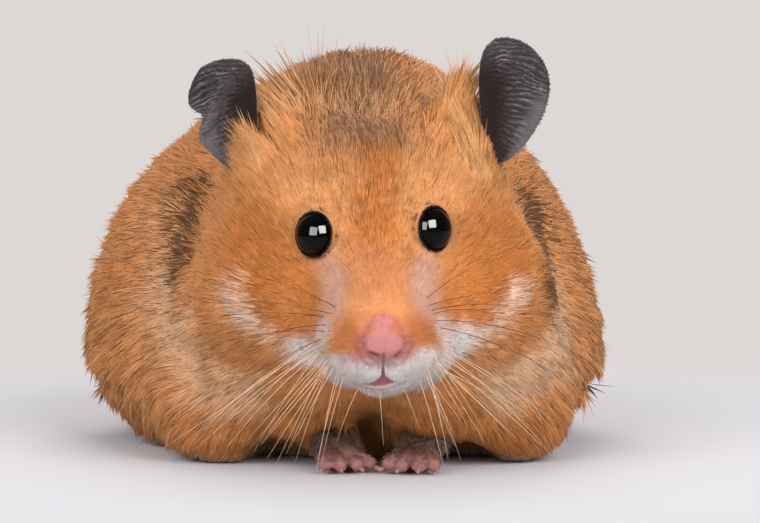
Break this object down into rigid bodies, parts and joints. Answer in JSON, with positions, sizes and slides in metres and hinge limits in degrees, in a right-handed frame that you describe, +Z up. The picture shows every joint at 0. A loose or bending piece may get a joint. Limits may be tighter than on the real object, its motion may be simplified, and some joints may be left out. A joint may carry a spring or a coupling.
{
  "type": "syrian hamster",
  "caption": "Crouching golden hamster, plump and low, with small paws under the chest, round upright ears and a short tail.",
  "frame": {"origin": "on the floor, at the middle of the bounding box seen from above", "axes": "+Y from the nose towards the tail, +X towards the animal's left side, +Z up"},
  "size_m": [0.0858, 0.1138, 0.0652],
  "materials": {
    "coat": "soft orange fur with pale and dark markings",
    "pale_coat": "short white fur",
    "ear_skin": "dark grey bare skin with fine silver hairs",
    "pink_skin": "soft bare pink skin",
    "eye": "wet black gloss",
    "claw": "pale horn"
  },
  "bodies": {
    "root": {"head": "coat", "lower_jaw": "pale_coat", "nose": "pink_skin", "eye_right": "eye", "eye_left": "eye", "ear_left": "ear_skin", "ear_right": "ear_skin", "neck": "coat", "trunk": "coat", "upper_arm_right": "coat", "upper_arm_left": "coat", "forearm_right": "pink_skin", "forearm_left": "pink_skin", "hand_right": "pink_skin", "hand_left": "pink_skin", "thigh_right": "coat", "thigh_left": "coat", "foot_right": "pink_skin", "foot_left": "pink_skin", "tail": "pink_skin", "claw_hand_right_1": "claw", "claw_hand_right_2": "claw", "claw_hand_right_3": "claw", "claw_hand_right_4": "claw", "claw_hand_left_1": "claw", "claw_hand_left_2": "claw", "claw_hand_left_3": "claw", "claw_hand_left_4": "claw", "claw_foot_right_1": "claw", "claw_foot_right_2": "claw", "claw_foot_right_3": "claw", "claw_foot_right_4": "claw", "claw_foot_right_5": "claw", "claw_foot_left_1": "claw", "claw_foot_left_2": "claw", "claw_foot_left_3": "claw", "claw_foot_left_4": "claw", "claw_foot_left_5": "claw"}
  },
  "joints": []
}
